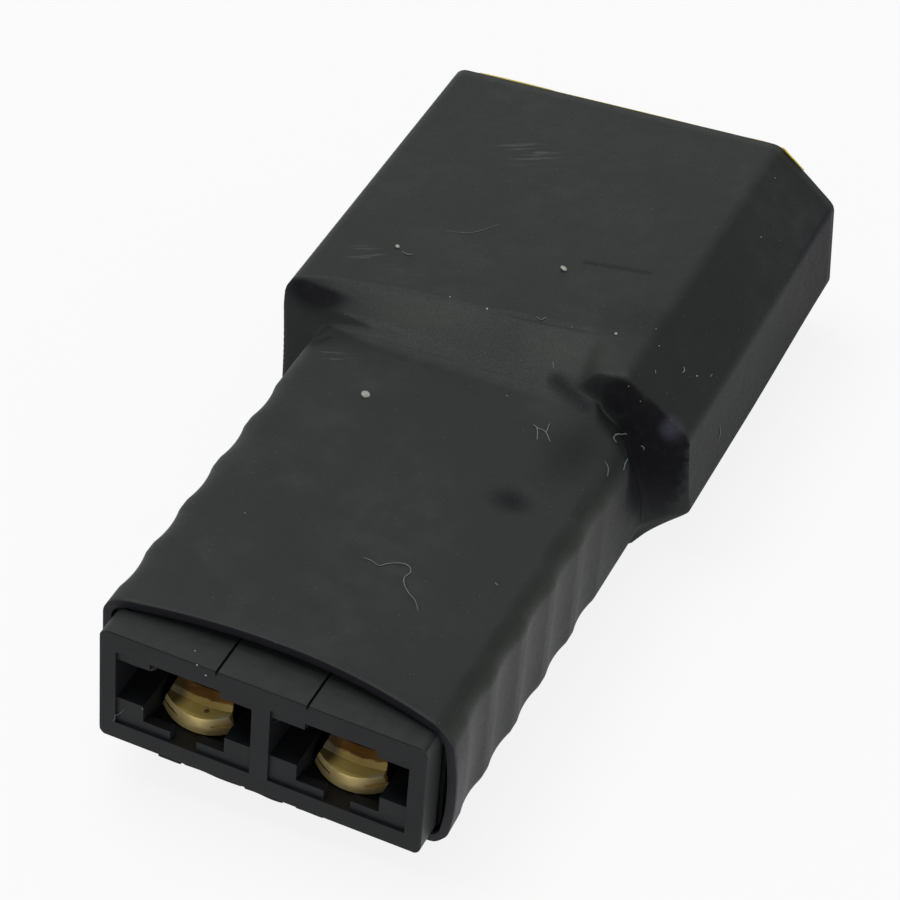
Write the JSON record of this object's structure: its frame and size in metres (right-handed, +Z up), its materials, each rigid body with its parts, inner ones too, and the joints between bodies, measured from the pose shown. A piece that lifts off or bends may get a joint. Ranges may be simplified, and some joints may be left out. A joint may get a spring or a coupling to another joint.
{
  "type": "battery connector adapter",
  "caption": "Wireless battery adapter: a finned blade socket at one end and a keyed bullet-pin plug at the other, joined back to back under one black shrink sleeve.",
  "frame": {"origin": "middle of the part's footprint, on the surface it lies on", "axes": "+Y along the part from the blade socket's face to the plug's rim, +X towards the plug's chamfered side, +Z up"},
  "size_m": [0.0228, 0.0478, 0.0114],
  "materials": {
    "housing_black": "satin moulded nylon",
    "contact_gold": "gold plating, slightly dull",
    "plug_yellow": "satin moulded nylon",
    "pin_gold": "gold plating, turned",
    "solder_tin": "bright tin solder",
    "sleeve_black": "matte shrink tubing with dust and lint"
  },
  "bodies": {
    "root": {"socket_housing": "housing_black", "contact_left": "contact_gold", "contact_right": "contact_gold", "plug_housing": "plug_yellow", "bullet_pin_left": "pin_gold", "bullet_pin_right": "pin_gold", "solder_left": "solder_tin", "solder_right": "solder_tin", "heat_shrink_sleeve": "sleeve_black"}
  },
  "joints": []
}
